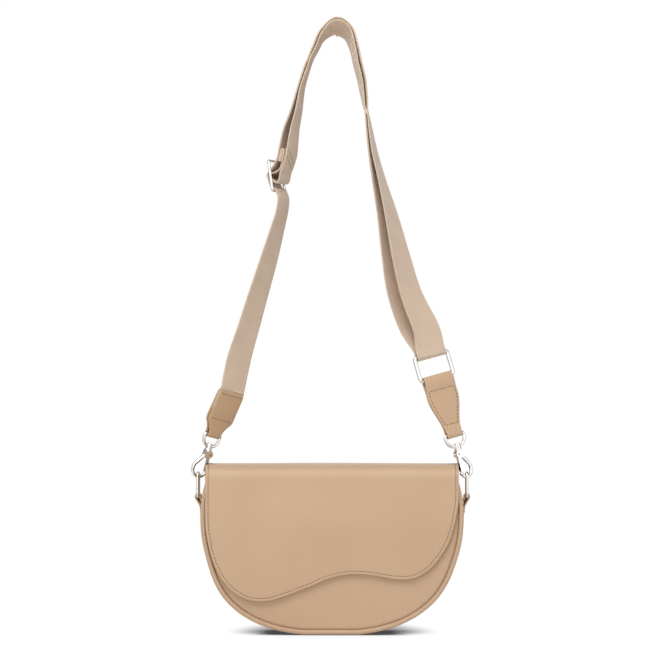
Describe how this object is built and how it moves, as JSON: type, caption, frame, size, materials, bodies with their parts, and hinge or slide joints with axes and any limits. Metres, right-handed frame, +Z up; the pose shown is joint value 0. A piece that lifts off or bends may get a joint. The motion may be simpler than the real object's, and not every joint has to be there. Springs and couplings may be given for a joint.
{
  "type": "saddle handbag",
  "caption": "Saddle handbag with a D-shaped leather body, an asymmetrical wavy flap, side rings, swivel snap hooks and an adjustable webbing shoulder strap.",
  "frame": {"origin": "middle of the bag's flat base, on the surface that it stands on; the strap stands up above it as it hangs", "axes": "+Z up, +X to the right seen from the front, -Y towards the front, where the flap closes"},
  "size_m": [0.2787, 0.0704, 0.6084],
  "materials": {
    "leather": "smooth embossed leather, satin",
    "dark_leather": "smooth leather, darker from wear, satin",
    "facing_leather": "thin facing leather, matt",
    "lining_fabric": "woven lining, matt",
    "webbing": "woven cotton webbing, matt",
    "nickel": "polished nickel plate on die-cast zinc",
    "spring_steel": "plain steel"
  },
  "bodies": {
    "strap": {"webbing_lower": "webbing", "webbing_inner": "webbing", "webbing_outer": "webbing", "slider": "nickel", "left_strap_tab": "dark_leather"},
    "link": {"rect_ring": "nickel"},
    "right_tab": {"right_strap_tab": "leather"},
    "left_eye": {"left_hook_eye": "nickel"},
    "left_hook": {"left_hook_frame": "nickel", "left_gate_pin": "spring_steel", "left_gate_spring": "spring_steel"},
    "left_gate_lever": {"left_gate": "nickel"},
    "right_eye": {"right_hook_eye": "nickel"},
    "right_hook": {"right_hook_frame": "nickel", "right_gate_pin": "spring_steel", "right_gate_spring": "spring_steel"},
    "right_gate_lever": {"right_gate": "nickel"},
    "bag": {"front_panel": "leather", "back_panel": "leather", "gusset": "leather", "front_rim": "leather", "back_rim": "leather", "lining": "lining_fabric", "flap_hem": "leather", "snap_socket": "nickel", "left_side_tab": "leather", "right_side_tab": "leather"},
    "left_ring": {"left_side_ring": "nickel"},
    "right_ring": {"right_side_ring": "nickel"},
    "flap_crown": {"flap_top": "leather"},
    "flap": {"flap_front": "leather", "flap_facing": "facing_leather", "snap_stud": "nickel"}
  },
  "joints": [
    {"name": "bag_swing", "type": "hinge", "parent": "strap", "child": "bag", "pos_m": [0, 0, 0.154], "axis": [1, 0, 0], "range_deg": [-18, 18]},
    {"name": "flap_top_lift", "type": "hinge", "parent": "bag", "child": "flap_crown", "pos_m": [0, 0.02949, 0.16449], "axis": [-1, 0, 0], "range_deg": [0, 17]},
    {"name": "flap_lift", "type": "hinge", "parent": "flap_crown", "child": "flap", "pos_m": [0, -0.0289, 0.1639], "axis": [-1, 0, 0], "range_deg": [0, 105]},
    {"name": "rect_ring_tilt", "type": "hinge", "parent": "strap", "child": "link", "pos_m": [0.09706, 0.00242, 0.27496], "axis": [-0.8699, -0.4347, -0.2331], "range_deg": [-8, 8]},
    {"name": "right_tab_tilt", "type": "hinge", "parent": "link", "child": "right_tab", "pos_m": [0.10384, 0.00128, 0.25176], "axis": [-0.8699, -0.4347, -0.2331], "range_deg": [-10, 10]},
    {"name": "left_eye_rock", "type": "hinge", "parent": "strap", "child": "left_eye", "pos_m": [-0.11843, 0.00118, 0.19562], "axis": [0.6729, 0.7106, -0.2057], "range_deg": [-2, 2]},
    {"name": "right_eye_rock", "type": "hinge", "parent": "right_tab", "child": "right_eye", "pos_m": [0.1201, -0.00144, 0.19615], "axis": [-0.8699, -0.4347, -0.2331], "range_deg": [-2, 1]},
    {"name": "left_hook_swivel", "type": "hinge", "parent": "left_eye", "child": "left_hook", "pos_m": [-0.12136, 0.00118, 0.186], "axis": [0.2924, 0, 0.9563], "range_deg": [-55, 8]},
    {"name": "right_hook_swivel", "type": "hinge", "parent": "right_eye", "child": "right_hook", "pos_m": [0.1227, -0.00144, 0.18644], "axis": [-0.2588, 0, 0.9659], "range_deg": [-60, 2]},
    {"name": "left_gate_press", "type": "hinge", "parent": "left_hook", "child": "left_gate_lever", "pos_m": [-0.12222, 0.00278, 0.17575], "axis": [-0.565, 0.8068, 0.1727], "range_deg": [0, 20], "stiffness_Nm_per_rad": 0.02, "springref_deg": -17.19},
    {"name": "right_gate_press", "type": "hinge", "parent": "right_hook", "child": "right_gate_lever", "pos_m": [0.1235, -0.00338, 0.17624], "axis": [0.6947, -0.6947, 0.1862], "range_deg": [0, 20], "stiffness_Nm_per_rad": 0.02, "springref_deg": -17.19},
    {"name": "left_ring_pivot", "type": "hinge", "parent": "bag", "child": "left_ring", "pos_m": [-0.13284, 0, 0.1345], "axis": [0, 1, 0], "range_deg": [-1.5, 1.5]},
    {"name": "right_ring_pivot", "type": "hinge", "parent": "bag", "child": "right_ring", "pos_m": [0.13284, 0, 0.1345], "axis": [0, 1, 0], "range_deg": [-1.5, 1.5]}
  ],
  "couplings": [
    {"joint": "flap_top_lift", "follows": "flap_lift", "ratio": 0.16},
    {"joint": "right_tab_tilt", "follows": "rect_ring_tilt", "ratio": -1.237}
  ]
}
